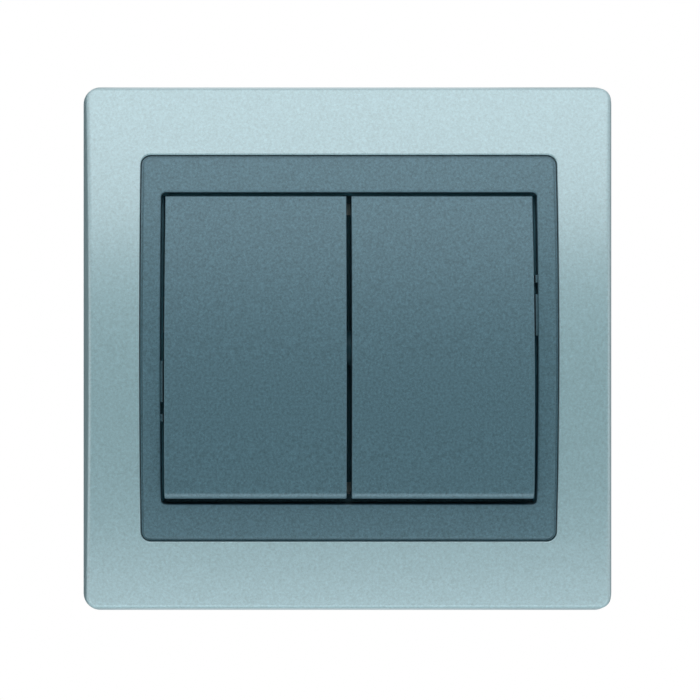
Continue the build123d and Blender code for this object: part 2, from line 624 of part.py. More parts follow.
def make_base_housing():
    """Moulded body behind the strap: two cells, six terminal pockets and cored-out rear walls."""
    base = slab(octagon(BASE_WIDTH, BASE_HEIGHT, BASE_CHAMFER), BASE_DEPTH, 0)
    base = fillet(base.faces().sort_by(Axis.Y)[-1].edges(), BASE_EDGE_ROUND)
    base -= slab(octagon(CAVITY_WIDTH, CAVITY_HEIGHT, CAVITY_CHAMFER), FLOOR_Y, 0)
    divider_end = SCREW_ROW - PAD_HEIGHT / 2 - STRIP_GAP
    base += slab(Rectangle(DIVIDER_THICKNESS, 2 * divider_end), FLOOR_Y, 0)
    half_pocket = PAD_WIDTH / 2 - POCKET_LEDGE
    pockets = Sketch()
    for column in terminal_columns():
        pockets += patch((column - half_pocket, column + half_pocket), (POCKET_INNER, BASE_HEIGHT))
    base -= both_halves(slab(pockets, BASE_DEPTH, FLOOR_Y))
    windows = Sketch()
    for offset in (-LATCH_OFFSET, LATCH_OFFSET):
        half_window = LATCH_WIDTH / 2 + LATCH_GAP
        windows += patch((offset - half_window, offset + half_window), (COLLAR_HEIGHT / 2, BASE_HEIGHT))
    base -= both_halves(slab(windows, LATCH_LENGTH + LATCH_GAP, LATCH_LENGTH - LATCH_BARB - LATCH_GAP))
    core_height = POCKET_INNER - CORE_RIB / 2 - CORE_RIB
    core_width = (CAVITY_WIDTH - 3 * CORE_RIB) / 4
    cores = Sketch()
    for row in GridLocations(core_width + CORE_RIB, core_height + CORE_RIB, 4, 2):
        cores += row * Rectangle(core_width, core_height)
    return base - slab(cores, BASE_DEPTH, FLOOR_Y + BASE_WALL)


def make_mechanism_cover():
    """Moulded cover in front of the strap: bearing ears, a collar into the base and four latches."""
    flange_width = COLLAR_WIDTH + 2 * (STRAP_CLEARANCE + COVER_OVERLAP)
    flange_height = COLLAR_HEIGHT + 2 * (STRAP_CLEARANCE + COVER_OVERLAP)
    cover = slab(octagon(flange_width, flange_height, BASE_CHAMFER), STRAP_FRONT, COVER_FRONT)
    collar = octagon(COLLAR_WIDTH, COLLAR_HEIGHT, CAVITY_CHAMFER)
    collar -= octagon(COLLAR_WIDTH - 2 * COLLAR_WALL, COLLAR_HEIGHT - 2 * COLLAR_WALL, CAVITY_CHAMFER)
    cover += slab(collar, STRAP_FRONT + COLLAR_LENGTH, COVER_FRONT + COVER_THICKNESS / 2)
    inner_ear = CRADLE_INNER_X + EAR_GAP
    outer_ear = CRADLE_OUTER_X - EAR_GAP
    opening = patch((outer_ear, inner_ear), (-CRADLE_OPENING, CRADLE_OPENING))
    cover -= both_halves(slab(opening, STRAP_FRONT, COVER_FRONT))
    ear = Pos(PIVOT_Y, 0) * Circle(EAR_RADIUS)
    ear += patch((PIVOT_Y, COVER_FRONT + COVER_THICKNESS / 2), (-EAR_RADIUS, EAR_RADIUS))
    ear -= Pos(PIVOT_Y, 0) * Circle(TRUNNION_RADIUS + TRUNNION_CLEARANCE)
    cover += side_profile(ear, inner_ear, -inner_ear)
    cover += both_halves(side_profile(ear, outer_ear - EAR_THICKNESS, outer_ear))
    for offset in (-LATCH_OFFSET, LATCH_OFFSET):
        cover += both_halves(cover_latch(offset))
    return cover


def cover_latch(offset):
    """A leg of the collar that snaps into a window in the base's wall."""
    outer = COLLAR_HEIGHT / 2
    inner = outer - COLLAR_WALL
    barb = outer + LATCH_ROOM + LATCH_BITE
    catch = LATCH_LENGTH - LATCH_BARB
    hook = outline_of(
        (STRAP_FRONT, inner), (LATCH_LENGTH, inner), (LATCH_LENGTH, outer), (catch, barb), (catch, outer),
        (STRAP_FRONT, outer),
    )
    return side_profile(hook, offset - LATCH_WIDTH / 2, offset + LATCH_WIDTH / 2)


def make_mounting_strap():
    """Pressed steel carrier: the mechanism's cut-out, screw slots, clip slots, beads and claw slots."""
    outline = RectangleRounded(STRAP_WIDTH, STRAP_HEIGHT, STRAP_CORNER)
    notch = Rectangle(STRAP_NOTCH_WIDTH, 2 * STRAP_NOTCH_DEPTH)
    box_slot = SlotOverall(BOX_SLOT_LENGTH, BOX_SLOT_WIDTH)
    for turn, half_size in ((0, STRAP_WIDTH / 2), (90, STRAP_HEIGHT / 2)):
        for side in (turn, turn + 180):
            outline -= Rot(0, 0, side) * Pos(half_size, 0) * Rot(0, 0, 90) * notch
            outline -= Rot(0, 0, side) * Pos(BOX_SCREW_SPACING / 2, 0) * box_slot
    cut_width = COLLAR_WIDTH + 2 * STRAP_CLEARANCE
    cut_height = COLLAR_HEIGHT + 2 * STRAP_CLEARANCE
    outline -= octagon(cut_width, cut_height, CAVITY_CHAMFER)
    clip_inner = SKIRT_HEIGHT / 2 - BEZEL_WALL - CLIP_BARB - CLIP_ROOM
    clip_outer = SKIRT_HEIGHT / 2 + CLIP_ROOM
    half_clip = CLIP_WIDTH / 2 + CLIP_ROOM
    for offset in (-CLIP_OFFSET, CLIP_OFFSET):
        slot = patch((offset - half_clip, offset + half_clip), (clip_inner, clip_outer))
        outline -= slot + Rot(0, 0, 180) * slot
    claw = claw_holes()
    outline -= claw + Rot(0, 0, 180) * claw
    strap = slab(outline, 0, STRAP_FRONT)
    bead = SlotOverall(BEAD_LENGTH, BEAD_WIDTH, rotation=90)
    dent = SlotOverall(BEAD_LENGTH - STRAP_THICKNESS, BEAD_WIDTH - STRAP_THICKNESS, rotation=90)
    for place in GridLocations(STRAP_WIDTH - 2 * BEAD_EDGE, 2 * BEAD_POSITION, 2, 2):
        strap += slab(place * bead, STRAP_FRONT, STRAP_FRONT - BEAD_HEIGHT)
        strap -= slab(place * dent, 0, -BEAD_HEIGHT)
    return strap


def claw_holes():
    """The left claw's two tongue slots and its screw hole."""
    half_slot = CLAW_THICKNESS / 2 + CLAW_SLOT_ROOM
    holes = Pos(CLAW_SCREW_X, CLAW_POSITION) * Circle(CLAW_SCREW_RADIUS + CLAW_SCREW_ROOM)
    for limits in tongue_limits(CLAW_SLOT_ROOM / 2):
        holes += patch((CLAW_X - half_slot, CLAW_X + half_slot), limits)
    return holes


def tongue_limits(growth):
    """Heights that the claw's two tongues span, at its edges."""
    low = CLAW_POSITION - CLAW_WIDTH / 2
    high = CLAW_POSITION + CLAW_WIDTH / 2
    return [(low - growth, low + CLAW_TONGUE + growth), (high - CLAW_TONGUE - growth, high + growth)]


def make_claw():
    """Left claw: bent spring-steel plate hung in the strap by two tongues, with teeth at its rear."""
    inner = CLAW_X + CLAW_THICKNESS / 2
    outer = CLAW_X - CLAW_THICKNESS / 2
    hook_end = outer - CLAW_HOOK
    hook_front = CLAW_LENGTH - CLAW_THICKNESS
    bent = outline_of(
        (inner, CLAW_STRAP_GAP), (inner, CLAW_LENGTH), (hook_end, CLAW_LENGTH), (hook_end, hook_front),
        (outer, hook_front), (outer, CLAW_STRAP_GAP),
    )
    bend_corner = bent.vertices().sort_by_distance((inner, CLAW_LENGTH))[0]
    bent = fillet(bend_corner, CLAW_THICKNESS)
    low = CLAW_POSITION - CLAW_WIDTH / 2
    claw = extrude(Plane.XY.offset(low) * bent, CLAW_WIDTH)
    pitch = CLAW_WIDTH / CLAW_TEETH
    for tooth in range(CLAW_TEETH - 1):
        root = low + pitch * (tooth + 1)
        notch = outline_of(
            (hook_end, root - pitch / 2), (hook_end + CLAW_TOOTH_DEPTH, root), (hook_end, root + pitch / 2))
        claw -= slab(notch, CLAW_LENGTH, hook_front)
    half_lug = CLAW_LUG_WIDTH / 2
    lug_heights = (CLAW_POSITION - half_lug, CLAW_POSITION + half_lug)
    lug_rear = CLAW_LUG_DEPTH + CLAW_THICKNESS
    window = patch((outer, inner), lug_heights)
    claw -= slab(window, lug_rear + CLAW_WINDOW_LENGTH, lug_rear)
    lug = patch((CLAW_SCREW_X - CLAW_LUG_EDGE, CLAW_X), lug_heights)
    lug -= Pos(CLAW_SCREW_X, CLAW_POSITION) * Circle(CLAW_SCREW_RADIUS + SCREW_CLEARANCE)
    claw += slab(lug, lug_rear, CLAW_LUG_DEPTH)
    head_rear = STRAP_FRONT - CLAW_STRAP_GAP
    for limits in tongue_limits(0):
        claw += slab(patch((outer, inner), limits), CLAW_STRAP_GAP, head_rear)
        wide = (limits[0] - CLAW_HEAD_SIDE, limits[1] + CLAW_HEAD_SIDE)
        claw += slab(patch((outer, inner), wide), head_rear, head_rear - CLAW_HEAD_LENGTH)
    return claw


def make_claw_screw():
    """Left claw screw: slotted head in front of the strap, shank through the claw's lug and nut."""
    top = STRAP_FRONT - CLAW_SCREW_HEAD_HEIGHT
    screw = slab(Circle(CLAW_SCREW_HEAD_RADIUS), STRAP_FRONT, top)
    screw = chamfer(screw.edges().sort_by(Axis.Y)[0], SCREW_HEAD_EDGE)
    screw += slab(Circle(CLAW_SCREW_RADIUS), CLAW_SCREW_LENGTH, STRAP_FRONT)
    slot = Rectangle(2 * CLAW_SCREW_HEAD_RADIUS, SCREW_SLOT_WIDTH)
    screw -= slab(slot, top + CLAW_SCREW_SLOT_DEPTH, top)
    return Pos(CLAW_SCREW_X, 0, CLAW_POSITION) * screw


def make_claw_nut():
    """Left claw nut: a square nut behind the lug."""
    front = CLAW_LUG_DEPTH + CLAW_THICKNESS
    nut = Rectangle(CLAW_NUT, CLAW_NUT) - Circle(CLAW_SCREW_RADIUS + SCREW_CLEARANCE)
    return Pos(CLAW_SCREW_X, 0, CLAW_POSITION) * slab(nut, front + CLAW_NUT_THICKNESS, front)


def make_parts():
    """Every piece by name, at rest: both keys with their top pressed in."""
    key = make_key()
    cradle = make_cradle()
    plunger = make_plunger()
    spring = make_spring()
    contact = make_moving_contact()
    tips = make_moving_tips()
    upper_terminal = make_upper_terminal()
    lower_terminal = mirror(upper_terminal, Plane.XY)
    common_terminal = make_common_terminal()
    claw = make_claw()
    claw_screw = make_claw_screw()
    claw_nut = make_claw_nut()
    return {
        "outer_frame": make_outer_frame(),
        "inner_bezel": make_inner_bezel(),
        "left_rocker": tilted(key),
        "right_rocker": tilted(half_turn(key)),
        "left_cradle": tilted(cradle),
        "right_cradle": tilted(half_turn(cradle)),
        "left_plunger": tilted(plunger),
        "right_plunger": tilted(half_turn(plunger)),
        "left_plunger_spring": tilted(spring),
        "right_plunger_spring": tilted(half_turn(spring)),
        "left_moving_contact": rocked(contact),
        "right_moving_contact": rocked(half_turn(contact)),
        "left_moving_tips": [rocked(tip) for tip in tips],
        "right_moving_tips": [rocked(half_turn(tip)) for tip in tips],
        "left_upper_terminal": upper_terminal,
        "left_lower_terminal": lower_terminal,
        "right_upper_terminal": half_turn(lower_terminal),
        "right_lower_terminal": half_turn(upper_terminal),
        "left_common_terminal": common_terminal,
        "right_common_terminal": half_turn(common_terminal),
        "fixed_contact_tips": make_fixed_tips(),
        "terminal_clamps": make_terminal_clamps(),
        "terminal_screws": make_terminal_screws(),
        "base_housing": make_base_housing(),
        "mechanism_cover": make_mechanism_cover(),
        "mounting_strap": make_mounting_strap(),
        "left_claw": claw,
        "right_claw": half_turn(claw),
        "left_claw_screw": claw_screw,
        "right_claw_screw": half_turn(claw_screw),
        "left_claw_nut": claw_nut,
        "right_claw_nut": half_turn(claw_nut),
    }


def write_parts():
    os.makedirs("parts", exist_ok=True)
    for name, shape in make_parts().items():
        solids = shape if isinstance(shape, list) else [shape]
        group = Compound(children=[solid for piece in solids for solid in piece.solids()])
        export_step(group, f"parts/{name}.step")


write_parts()
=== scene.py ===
import json
import math

import bpy
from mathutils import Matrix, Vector

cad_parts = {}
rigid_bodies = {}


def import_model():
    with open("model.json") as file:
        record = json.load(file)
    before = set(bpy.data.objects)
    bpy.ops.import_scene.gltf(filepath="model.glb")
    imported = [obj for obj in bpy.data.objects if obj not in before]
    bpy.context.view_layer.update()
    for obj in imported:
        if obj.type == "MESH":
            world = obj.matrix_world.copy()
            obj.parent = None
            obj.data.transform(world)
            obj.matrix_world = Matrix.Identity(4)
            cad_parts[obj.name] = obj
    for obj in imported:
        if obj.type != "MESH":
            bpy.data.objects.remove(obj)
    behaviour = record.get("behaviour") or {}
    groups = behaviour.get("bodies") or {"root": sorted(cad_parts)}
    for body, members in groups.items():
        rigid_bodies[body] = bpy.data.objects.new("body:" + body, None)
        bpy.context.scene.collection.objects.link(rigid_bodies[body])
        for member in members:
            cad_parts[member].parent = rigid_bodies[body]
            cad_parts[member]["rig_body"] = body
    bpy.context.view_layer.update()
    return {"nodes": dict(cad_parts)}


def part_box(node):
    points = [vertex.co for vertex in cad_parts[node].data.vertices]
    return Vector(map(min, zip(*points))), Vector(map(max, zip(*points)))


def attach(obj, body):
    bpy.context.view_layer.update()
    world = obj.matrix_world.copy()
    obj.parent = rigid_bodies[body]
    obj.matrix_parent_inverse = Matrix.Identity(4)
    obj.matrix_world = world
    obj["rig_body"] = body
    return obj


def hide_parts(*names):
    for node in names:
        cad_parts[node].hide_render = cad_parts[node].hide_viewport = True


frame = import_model()
nodes = frame["nodes"]


# Base housing.
# The body behind the wall plate is a grey thermoset moulding, with two cells for the see-saws and six pockets
# for the terminals. Its edges are broken a little, as the mould leaves them, and its rear is cored out.
BASE_GREY = (0.60, 0.60, 0.57, 1)
BASE_EDGE = 0.00022
EDGE_SEGMENTS = 2
SHARP_ANGLE = math.radians(35)
SMOOTH_ANGLE = math.radians(50)
FLAT_ANGLE = math.radians(0.5)
WELD_DISTANCE = 0.000001


class Shade:
    """A socket of a material. Arithmetic on it adds Math nodes, and node() adds a node of any other type.
    A socket is given by its name, or by an underscore and its number where names repeat."""

    def __init__(self, tree, socket):
        self.tree = tree
        self.socket = socket

    def node(self, kind, output=0, settings=None, stops=(), **sockets):
        made = self.tree.nodes.new(kind)
        for name, value in (settings or {}).items():
            setattr(made, name, value)
        for index, (place, colour) in enumerate(stops):
            stop = made.color_ramp.elements[index]
            stop.position = place
            stop.color = colour
        for name, value in sockets.items():
            key = int(name[1:]) if name[0] == "_" else name.replace("_", " ")
            socket = made.inputs[key]
            if isinstance(value, Shade):
                self.tree.links.new(value.socket, socket)
            else:
                socket.default_value = value
        return Shade(self.tree, made.outputs[output])

    def sum(self, operation, first, second):
        return self.node("ShaderNodeMath", settings={"operation": operation}, _0=first, _1=second)

    def __add__(self, other):
        return self.sum("ADD", self, other)

    def __radd__(self, other):
        return self.sum("ADD", other, self)

    def __mul__(self, other):
        return self.sum("MULTIPLY", self, other)

    def __rmul__(self, other):
        return self.sum("MULTIPLY", other, self)

    def noise(self, scale, detail=2.0, roughness=0.5):
        """Noise from 0 to 1 on the piece's own coordinates, with a scale in cells a metre."""
        return self.node("ShaderNodeTexNoise", Vector=self, Scale=scale, Detail=detail, Roughness=roughness)

    def ramp(self, low, high):
        """A colour between two stops, each a value and its colour."""
        return self.node("ShaderNodeValToRGB", stops=(low, high), Fac=self)

    def bump(self, height):
        """A normal from this value as a height, in metres at full value."""
        return self.node("ShaderNodeBump", Strength=1.0, Distance=height, Height=self)


def new_finish(name, **constants):
    """A material with its shader's constant sockets set.
    Gives it, its shader and the piece's own coordinates."""
    finish = bpy.data.materials.new(name)
    finish.use_nodes = True
    tree = finish.node_tree
    shader = tree.nodes["Principled BSDF"]
    for socket, value in constants.items():
        shader.inputs[socket.replace("_", " ")].default_value = value
    place = tree.nodes.new("ShaderNodeTexCoord")
    return finish, shader, Shade(tree, place.outputs["Object"])


def feed(shader, **links):
    """Joins values that change over the surface to the shader's sockets."""
    for socket, value in links.items():
        value.tree.links.new(value.socket, shader.inputs[socket.replace("_", " ")])


def shaded(colour, factor):
    """A colour made lighter or darker."""
    return tuple(channel * factor for channel in colour[:3]) + (1,)


def moulded_plastic(name, colour, roughness):
    """Plastic as moulded: an even colour with faint clouds and a fine spark-eroded grain."""
    finish, shader, place = new_finish(name, Specular_IOR_Level=0.4)
    cloud = place.noise(180.0, 3.0)
    feed(shader, Base_Color=cloud.ramp((0.3, shaded(colour, 0.93)), (0.7, shaded(colour, 1.05))))
    feed(shader, Roughness=roughness - 0.06 + 0.12 * place.noise(400.0, 2.0))
    feed(shader, Normal=place.noise(9000.0, 2.0).bump(0.000012))
    return finish


def finish_piece(piece, finish, node):
    """Gives a new piece its finish and puts it in the place of a CAD piece."""
    piece.data.materials.clear()
    piece.data.materials.append(finish)
    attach(piece, nodes[node]["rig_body"])
    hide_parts(node)


def welded_copy(node):
    """A copy of a CAD piece as one closed mesh, selected and active."""
    bpy.ops.object.select_all(action="DESELECT")
    piece = bpy.data.objects.new(f"{node}_finished", nodes[node].data.copy())
    bpy.context.scene.collection.objects.link(piece)
    bpy.context.view_layer.objects.active = piece
    piece.select_set(True)
    bpy.ops.mesh.customdata_custom_splitnormals_clear()
    bpy.ops.object.mode_set(mode="EDIT")
    bpy.ops.mesh.select_all(action="SELECT")
    bpy.ops.mesh.remove_doubles(threshold=WELD_DISTANCE)
    bpy.ops.mesh.dissolve_limited(angle_limit=FLAT_ANGLE)
    bpy.ops.object.mode_set(mode="OBJECT")
    return piece


def smooth(piece):
    """Shades the active piece smooth over its small faces and flat on its large ones."""
    bpy.ops.object.shade_smooth_by_angle(angle=SMOOTH_ANGLE)
    flat = piece.modifiers.new("flat", "WEIGHTED_NORMAL")
    flat.keep_sharp = True
    bpy.ops.object.modifier_apply(modifier="flat")


def broken_edges(node, width, finish):
    """Stands for a CAD piece: the same form, its sharp edges broken as a mould or a press leaves them."""
    piece = welded_copy(node)
    edge = piece.modifiers.new("edge", "BEVEL")
    edge.width = width
    edge.segments = EDGE_SEGMENTS
    edge.angle_limit = SHARP_ANGLE
    edge.use_clamp_overlap = False
    bpy.ops.object.modifier_apply(modifier="edge")
    smooth(piece)
    finish_piece(piece, finish, node)


base_thermoset = moulded_plastic("base_thermoset", BASE_GREY, roughness=0.5)
broken_edges("base_housing", BASE_EDGE, base_thermoset)


# Terminals.
# Six stamped brass strips lie on the base's floor: two travellers and a common for each way. The common
# strips carry the knife edges that the see-saws rock on.
BRASS = (0.72, 0.50, 0.20, 1)
STAMPED_EDGE = 0.00012


def rolled_metal(name, colour, roughness, spread):
    """Sheet metal as rolled: faint streaks along the strip and patches where it has been handled."""
    finish, shader, place = new_finish(name, Metallic=1.0)
    patches = place.noise(320.0, 4.0)
    streaks = place.node("ShaderNodeMapping", Vector=place, Scale=(1.0, 1.0, 14.0)).noise(500.0, 2.0)
    feed(shader, Base_Color=patches.ramp((0.25, shaded(colour, 0.88)), (0.75, shaded(colour, 1.08))))
    feed(shader, Roughness=roughness + spread * (0.5 * place.noise(1500.0, 3.0) + 0.5 * streaks))
    feed(shader, Normal=place.noise(6000.0, 2.0).bump(0.000006))
    return finish


brass = rolled_metal("terminal_brass", BRASS, roughness=0.22, spread=0.2)
for side in ("left", "right"):
    for strip in ("upper", "lower", "common"):
        broken_edges(f"{side}_{strip}_terminal", STAMPED_EDGE, brass)


# See-saws and contact tips.
# Brass see-saws, stamped as the terminals are, stand loose on the knife edges. Silver tips are riveted on,
# which meet four fixed tips on the travellers.
SILVER = (0.80, 0.80, 0.77, 1)


def dress(node, finish):
    """Gives a CAD piece its finish."""
    piece = nodes[node]
    piece.data.materials.clear()
    piece.data.materials.append(finish)


silver = rolled_metal("tip_silver", SILVER, roughness=0.15, spread=0.15)
dress("fixed_contact_tips", silver)
for side in ("left", "right"):
    broken_edges(f"{side}_moving_contact", STAMPED_EDGE, brass)
    dress(f"{side}_moving_tips", silver)


# Clamps and screws of the terminals.
# Pressed steel clamp plates, each held by a slotted screw that is driven from behind through the clamp into
# the terminal's pad. The screws have rolled threads and turned heads, and their slots stand as the last turn
# left them.
PLATED_STEEL = (0.58, 0.58, 0.55, 1)
CLAMP_EDGE = 0.00018
SCREW_RADIUS = 0.0017
SCREW_PITCH = 0.0006
SCREW_HEAD = (0.0029, 0.0020)
SCREW_SLOT = (0.0009, 0.0010)
SCREW_SMOOTH_ANGLE = math.radians(40)
SLOT_TURNS = (8, 64, 131, 27, 152, 95)
HEAD_CHAMFER = 0.25
HEAD_SEGMENTS = 3
THREAD_STEPS = 24
THREAD_MARGIN = 1.05
THREAD_WELD = 0.001


def cut(piece, tool, operation):
    """Cuts a piece with a tool, which is used up."""
    bpy.ops.object.select_all(action="DESELECT")
    bpy.context.view_layer.objects.active = piece
    piece.select_set(True)
    cutter = piece.modifiers.new("cut", "BOOLEAN")
    cutter.operation = operation
    cutter.object = tool
    bpy.ops.object.modifier_apply(modifier="cut")
    bpy.data.objects.remove(tool)


def pick_edges(piece, wanted):
    """In edit mode, selects the edges whose ends both pass a test of their place, and no others."""
    bpy.ops.object.mode_set(mode="EDIT")
    bpy.ops.mesh.select_mode(type="EDGE")
    bpy.ops.mesh.select_all(action="DESELECT")
    bpy.ops.object.mode_set(mode="OBJECT")
    for edge in piece.data.edges:
        edge.select = all(wanted(piece.data.vertices[end].co) for end in edge.vertices)
    bpy.ops.object.mode_set(mode="EDIT")


def turned_rod(radius, foot, top, edge):
    """A round rod along Z between two heights, with its foot's edge chamfered."""
    bpy.ops.object.select_all(action="DESELECT")
    middle = (0, 0, (foot + top) / 2)
    bpy.ops.mesh.primitive_cylinder_add(vertices=2 * THREAD_STEPS, radius=radius, depth=top - foot,
                                        location=middle)
    rod = bpy.context.object
    bpy.ops.object.transform_apply(location=True)
    pick_edges(rod, lambda end: abs(end.z - foot) < edge / 10)
    bpy.ops.mesh.bevel(offset=edge, segments=HEAD_SEGMENTS, affect="EDGES")
    bpy.ops.object.mode_set(mode="OBJECT")
    return rod


def thread(radius, pitch, foot, top):
    """A V thread along Z: a triangle, opened on its inner side, wound up the screw and closed at both ends."""
    bpy.ops.object.select_all(action="DESELECT")
    ridge = pitch / math.sqrt(3)
    start = (radius - ridge, 0, foot - pitch)
    upright = (math.pi / 2, math.pi / 2, 0)
    bpy.ops.mesh.primitive_circle_add(vertices=3, radius=ridge, location=start, rotation=upright)
    coil = bpy.context.object
    bpy.ops.object.transform_apply(location=True, rotation=True)
    pick_edges(coil, lambda end: end.x < radius - ridge)
    bpy.ops.mesh.delete(type="EDGE")
    bpy.ops.object.mode_set(mode="OBJECT")
    winding = coil.modifiers.new("winding", "SCREW")
    winding.screw_offset = pitch
    winding.iterations = math.ceil((top - foot) / pitch) + 2
    winding.steps = winding.render_steps = THREAD_STEPS
    winding.use_merge_vertices = True
    winding.merge_threshold = THREAD_WELD * pitch
    bpy.ops.object.modifier_apply(modifier="winding")
    bpy.ops.object.mode_set(mode="EDIT")
    bpy.ops.mesh.select_all(action="SELECT")
    bpy.ops.mesh.remove_doubles(threshold=THREAD_WELD * pitch)
    bpy.ops.mesh.fill_holes(sides=0)
    bpy.ops.mesh.select_all(action="SELECT")
    bpy.ops.mesh.normals_make_consistent(inside=False)
    bpy.ops.object.mode_set(mode="OBJECT")
    return coil


def slotted_screw(name, radius, pitch, length, head, slot):
    """A screw along Z: its seat at the origin, the threaded shank above it and the slotted head below."""
    head_radius, head_height = head
    slot_width, slot_depth = slot
    shank = thread(radius, pitch, 0, length)
    bounds = turned_rod(THREAD_MARGIN * radius, -length, pitch, pitch)
    bpy.ops.object.select_all(action="DESELECT")
    bounds.select_set(True)
    bpy.context.view_layer.objects.active = bounds
    bounds.rotation_euler.x = math.pi
    bpy.ops.object.transform_apply(rotation=True)
    cut(shank, bounds, "INTERSECT")
    screw = turned_rod(head_radius, -head_height, 0, HEAD_CHAMFER * head_height)
    bpy.ops.object.select_all(action="DESELECT")
    bpy.ops.mesh.primitive_cube_add(size=1, location=(0, 0, -head_height))
    blade = bpy.context.object
    blade.scale = (3 * head_radius, slot_width, 2 * slot_depth)
    bpy.ops.object.transform_apply(location=True, scale=True)
    cut(screw, blade, "DIFFERENCE")
    shank.select_set(True)
    bpy.ops.object.join()
    bpy.ops.object.shade_smooth_by_angle(angle=SCREW_SMOOTH_ANGLE)
    screw.name = name
    return screw


def set_screw(pattern, name, place, turn, forward):
    """A copy of a screw in its place: its seat at a point, its head to the front or rear, its slot turned."""
    screw = bpy.data.objects.new(name, pattern.data.copy())
    bpy.context.scene.collection.objects.link(screw)
    bpy.ops.object.select_all(action="DESELECT")
    bpy.context.view_layer.objects.active = screw
    screw.select_set(True)
    screw.rotation_euler.z = math.radians(turn)
    bpy.ops.object.transform_apply(rotation=True)
    screw.rotation_euler.x = -math.pi / 2 if forward else math.pi / 2
    screw.location = place
    bpy.ops.object.transform_apply(location=True, rotation=True)
    return screw


plated_steel = rolled_metal("plated_steel", PLATED_STEEL, roughness=0.25, spread=0.2)
broken_edges("terminal_clamps", CLAMP_EDGE, plated_steel)
low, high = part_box("terminal_screws")
screw_seat = high[1] - SCREW_HEAD[1]
columns = (low[0] + SCREW_HEAD[0], 0, high[0] - SCREW_HEAD[0])
rows = (low[2] + SCREW_HEAD[0], high[2] - SCREW_HEAD[0])
screw_pattern = slotted_screw("screw_pattern", SCREW_RADIUS, SCREW_PITCH, screw_seat - low[1], SCREW_HEAD,
                              SCREW_SLOT)
for index, turn in enumerate(SLOT_TURNS):
    row, column = divmod(index, len(columns))
    place = (columns[column], screw_seat, rows[row])
    screw = set_screw(screw_pattern, f"terminal_screw_{index + 1}", place, turn, forward=False)
    finish_piece(screw, plated_steel, "terminal_screws")
bpy.data.objects.remove(screw_pattern)


# Cover, tumblers and plungers.
# Slate mouldings in front of the strap: the cover with its bearing ears, latched into the base, and the
# tumblers that turn in them. The pale sprung plungers throw the see-saws over.
COVER_SLATE = (0.06, 0.21, 0.28, 1)
TUMBLER_SLATE = (0.065, 0.22, 0.29, 1)
PLUNGER_WHITE = (0.80, 0.80, 0.77, 1)
SPRING_STEEL = (0.50, 0.50, 0.50, 1)

dress("mechanism_cover", moulded_plastic("cover_plastic", COVER_SLATE, roughness=0.5))
tumbler_plastic = moulded_plastic("tumbler_plastic", TUMBLER_SLATE, roughness=0.45)
plunger_plastic = moulded_plastic("plunger_plastic", PLUNGER_WHITE, roughness=0.3)
spring_steel = rolled_metal("spring_steel", SPRING_STEEL, roughness=0.2, spread=0.1)
for side in ("left", "right"):
    dress(f"{side}_cradle", tumbler_plastic)
    dress(f"{side}_plunger", plunger_plastic)
    dress(f"{side}_plunger_spring", spring_steel)


# Strap.
# A zinc-plated steel plate, pierced and pressed in one stroke: its edges are rolled over a little, and the
# zinc shows fine crystals.
ZINC = (0.60, 0.61, 0.60, 1)
PRESSED_EDGE = 0.00015


def zinc_coat(name, colour):
    """Zinc on sheet steel: crystals a few millimetres across, each a little lighter or darker, and a fine
    unevenness in the gloss."""
    finish, shader, place = new_finish(name, Metallic=1.0)
    drift = place.node("ShaderNodeVectorMath", settings={"operation": "MULTIPLY_ADD"},
                       _0=place.node("ShaderNodeTexNoise", output=1, Vector=place, Scale=300.0, Detail=2.0),
                       _1=(0.004, 0.004, 0.004), _2=place)
    crystals = drift.node("ShaderNodeTexVoronoi", output=1, Vector=drift, Scale=420.0)
    feed(shader, Base_Color=crystals.ramp((0.1, shaded(colour, 0.93)), (0.9, shaded(colour, 1.06))))
    feed(shader, Roughness=0.30 + 0.14 * place.noise(260.0, 4.0) + 0.10 * place.noise(2500.0, 2.0))
    feed(shader, Normal=place.noise(5000.0, 2.0).bump(0.000006))
    return finish


broken_edges("mounting_strap", PRESSED_EDGE, zinc_coat("zinc_steel", ZINC))


# Claws.
# Bent spring-steel plates with teeth, hung in the strap by their tongues. A long screw from the front draws a
# square nut against each claw's lug and spreads the claw into the box.
CLAW_STEEL = (0.56, 0.54, 0.47, 1)
CLAW_SCREW_RADIUS = 0.00125
CLAW_SCREW_PITCH = 0.00045
CLAW_SCREW_HEAD = (0.0023, 0.0017)
CLAW_SCREW_SLOT = (0.0009, 0.00085)
CLAW_SLOT_TURNS = {"left": 35, "right": 110}

claw_steel = rolled_metal("claw_steel", CLAW_STEEL, roughness=0.3, spread=0.2)
low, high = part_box("left_claw_screw")
screw_length = high[1] - low[1] - CLAW_SCREW_HEAD[1]
claw_pattern = slotted_screw("claw_pattern", CLAW_SCREW_RADIUS, CLAW_SCREW_PITCH, screw_length,
                             CLAW_SCREW_HEAD, CLAW_SCREW_SLOT)
for side, turn in CLAW_SLOT_TURNS.items():
    broken_edges(f"{side}_claw", PRESSED_EDGE, claw_steel)
    broken_edges(f"{side}_claw_nut", CLAMP_EDGE, plated_steel)
    low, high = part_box(f"{side}_claw_screw")
    place = ((low[0] + high[0]) / 2, low[1] + CLAW_SCREW_HEAD[1], (low[2] + high[2]) / 2)
    screw = set_screw(claw_pattern, f"{side}_claw_screw_threaded", place, turn, forward=True)
    finish_piece(screw, plated_steel, f"{side}_claw_screw")
bpy.data.objects.remove(claw_pattern)


# Outer frame.
# A grey moulding, crowned from top to bottom and sprayed from the front with a silver paint that holds fine
# metal flakes. Inside, towards the wall, the plastic is left bare.
FRAME_SILVER = (0.33, 0.49, 0.535, 1)
FRAME_BARE = (0.12, 0.165, 0.18, 1)
BARE_ROUGHNESS = 0.55


